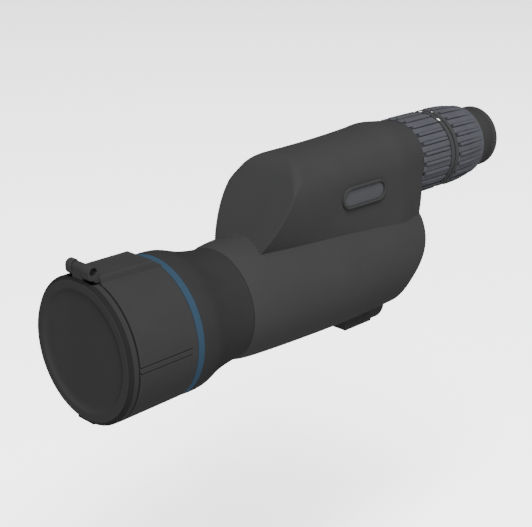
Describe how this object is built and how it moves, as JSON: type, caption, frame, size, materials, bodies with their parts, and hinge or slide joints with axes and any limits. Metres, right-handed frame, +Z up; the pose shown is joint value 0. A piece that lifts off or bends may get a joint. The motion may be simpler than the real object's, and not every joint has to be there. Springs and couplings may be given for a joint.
{
  "type": "spotting scope",
  "caption": "Straight spotting scope with a mirror-folded body, sliding sunshade, flip-up objective cover, zoom and focus rings, twist-up eyecup and tripod foot.",
  "frame": {"origin": "mouth of the tripod thread, in the middle of the foot's underside", "axes": "+Z up, objective towards -Y, eyepiece towards +Y, badge on the +X wall; both optical axes run along Y in the plane x = 0"},
  "size_m": [0.1002, 0.4124, 0.1514],
  "materials": {
    "armour": "matte",
    "housing": "matte",
    "dark_metal": "satin",
    "inner_black": "matte",
    "accent_blue": "satin",
    "badge": "satin",
    "steel": "satin",
    "brass": "satin",
    "grip": "matte",
    "soft_cup": "matte",
    "cover_plastic": "matte",
    "seal": "matte",
    "lens": "polished",
    "mirror": "polished"
  },
  "bodies": {
    "housing": {"rubber_armour": "armour", "main_housing": "housing", "badge_plate": "badge", "foot_plate": "dark_metal", "foot_screws": "steel", "tripod_thread_insert": "brass", "objective_barrel": "dark_metal", "barrel_o_ring": "seal", "accent_ring": "accent_blue", "objective_cell": "inner_black", "objective_o_ring": "seal", "objective_front_lens": "lens", "objective_spacer": "inner_black", "objective_rear_lens": "lens", "objective_retaining_ring": "inner_black", "cell_lock_ring": "inner_black", "light_baffle": "inner_black", "rear_mirror": "mirror", "rear_mirror_mount": "inner_black", "front_mirror": "mirror", "front_mirror_mount": "inner_black", "mirror_screws": "steel", "eyepiece_tube": "inner_black", "eyepiece_lock_ring": "dark_metal", "erector_guide_tube": "brass", "reticle_glass": "lens", "reticle_ring": "inner_black"},
    "sunshade": {"sunshade": "dark_metal", "shade_guide_ring": "seal", "hinge_pin": "steel", "hinge_nut": "steel"},
    "objective_cover": {"objective_cover": "cover_plastic", "cover_plug_ring": "seal", "cover_seal": "seal"},
    "zoom_ring": {"zoom_ring_core": "dark_metal", "zoom_ring_grip": "grip", "zoom_drive_pin": "steel", "zoom_cam_sleeve": "inner_black"},
    "erector_front": {"erector_front_cell": "inner_black", "erector_front_lens": "lens", "erector_front_pin": "steel"},
    "erector_rear": {"erector_rear_cell": "inner_black", "erector_rear_lens": "lens", "erector_rear_pin": "steel"},
    "focus_ring": {"focus_ring_core": "dark_metal", "focus_ring_grip": "grip"},
    "ocular": {"ocular_cell": "inner_black", "ocular_field_lens": "lens", "ocular_spacer": "inner_black", "ocular_eye_lens": "lens", "ocular_retaining_ring": "inner_black", "focus_pin": "steel"},
    "eyecup_sleeve": {"eyecup_sleeve": "inner_black"},
    "eyecup": {"eyecup_core": "inner_black", "eyecup_pin": "steel", "eyecup_rubber": "soft_cup"}
  },
  "joints": [
    {"name": "sunshade_slide", "type": "slide", "parent": "housing", "child": "sunshade", "axis": [0, -1, 0], "range_m": [0, 0.033]},
    {"name": "cover_hinge", "type": "hinge", "parent": "sunshade", "child": "objective_cover", "pos_m": [0, -0.2445, 0.1066], "axis": [-1, 0, 0], "range_deg": [0, 180]},
    {"name": "zoom_ring_turn", "type": "hinge", "parent": "housing", "child": "zoom_ring", "pos_m": [0, 0.0778, 0.1191], "axis": [0, 1, 0], "range_deg": [0, 150]},
    {"name": "erector_front_slide", "type": "slide", "parent": "housing", "child": "erector_front", "axis": [0, -1, 0], "range_m": [0, 0.012]},
    {"name": "erector_rear_slide", "type": "slide", "parent": "housing", "child": "erector_rear", "axis": [0, -1, 0], "range_m": [0, 0.007]},
    {"name": "focus_ring_turn", "type": "hinge", "parent": "housing", "child": "focus_ring", "pos_m": [0, 0.1178, 0.1191], "axis": [0, 1, 0], "range_deg": [-150, 150]},
    {"name": "ocular_slide", "type": "slide", "parent": "housing", "child": "ocular", "axis": [0, -1, 0], "range_m": [-0.003, 0.003]},
    {"name": "eyecup_turn", "type": "hinge", "parent": "housing", "child": "eyecup_sleeve", "pos_m": [0, 0.1478, 0.1191], "axis": [0, 1, 0], "range_deg": [0, 120]},
    {"name": "eyecup_lift", "type": "slide", "parent": "eyecup_sleeve", "child": "eyecup", "axis": [0, 1, 0], "range_m": [0, 0.008]}
  ],
  "couplings": [
    {"joint": "erector_front_slide", "follows": "zoom_ring_turn", "m_per_rad": 0.004583},
    {"joint": "erector_rear_slide", "follows": "zoom_ring_turn", "m_per_rad": 0.002673},
    {"joint": "ocular_slide", "follows": "focus_ring_turn", "m_per_rad": 0.001145},
    {"joint": "eyecup_lift", "follows": "eyecup_turn", "m_per_rad": 0.003819}
  ]
}
